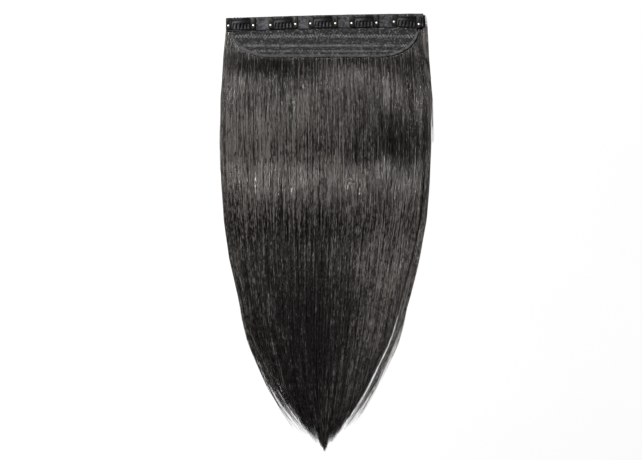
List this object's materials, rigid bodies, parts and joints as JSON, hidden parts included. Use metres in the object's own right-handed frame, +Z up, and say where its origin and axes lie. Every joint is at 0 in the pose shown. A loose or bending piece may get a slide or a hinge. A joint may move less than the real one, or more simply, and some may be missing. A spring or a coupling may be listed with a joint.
{
  "type": "clip-in hair extension",
  "caption": "Straight one-piece clip-in hair extension with a D-shaped net base panel and a top tape that carries snap clips.",
  "frame": {"origin": "on the surface it lies on, under the middle of its footprint", "axes": "+X across the hair, +Y from the hair's tip towards the clips, +Z up through the clips"},
  "size_m": [0.2718, 0.5616, 0.0095],
  "materials": {
    "hair": "soft sheen along the strands",
    "net": "matte net",
    "binding": "matte",
    "tape": "matte, slightly silky",
    "clip_steel": "gloss black paint",
    "rivet": "bright"
  },
  "bodies": {
    "extension": {"hair": "hair", "base_panel": "net", "panel_binding": "binding", "top_tape": "tape", "clip_1_frame": "clip_steel", "clip_1_rivet_left": "rivet", "clip_1_rivet_right": "rivet", "clip_2_frame": "clip_steel", "clip_2_rivet_left": "rivet", "clip_2_rivet_right": "rivet", "clip_3_frame": "clip_steel", "clip_3_rivet_left": "rivet", "clip_3_rivet_right": "rivet", "clip_4_frame": "clip_steel", "clip_4_rivet_left": "rivet", "clip_4_rivet_right": "rivet", "clip_5_frame": "clip_steel", "clip_5_rivet_left": "rivet", "clip_5_rivet_right": "rivet"},
    "comb_1": {"clip_1_comb": "clip_steel"},
    "comb_2": {"clip_2_comb": "clip_steel"},
    "comb_3": {"clip_3_comb": "clip_steel"},
    "comb_4": {"clip_4_comb": "clip_steel"},
    "comb_5": {"clip_5_comb": "clip_steel"}
  },
  "joints": [
    {"name": "clip_1_snap", "type": "hinge", "parent": "extension", "child": "comb_1", "pos_m": [-0.10873, 0.27189, 0.0091], "axis": [-0.9999, -0.0122, 0], "range_deg": [0, 35]},
    {"name": "clip_2_snap", "type": "hinge", "parent": "extension", "child": "comb_2", "pos_m": [-0.05472, 0.27301, 0.0091], "axis": [-0.9992, -0.0401, 0], "range_deg": [0, 35]},
    {"name": "clip_3_snap", "type": "hinge", "parent": "extension", "child": "comb_3", "pos_m": [-0.00321, 0.2745, 0.0091], "axis": [-1, -0.0087, 0], "range_deg": [0, 35]},
    {"name": "clip_4_snap", "type": "hinge", "parent": "extension", "child": "comb_4", "pos_m": [0.04974, 0.27509, 0.0091], "axis": [-0.9999, -0.0157, 0], "range_deg": [0, 35]},
    {"name": "clip_5_snap", "type": "hinge", "parent": "extension", "child": "comb_5", "pos_m": [0.10489, 0.27512, 0.0091], "axis": [-0.9954, 0.0958, 0], "range_deg": [0, 35]}
  ]
}
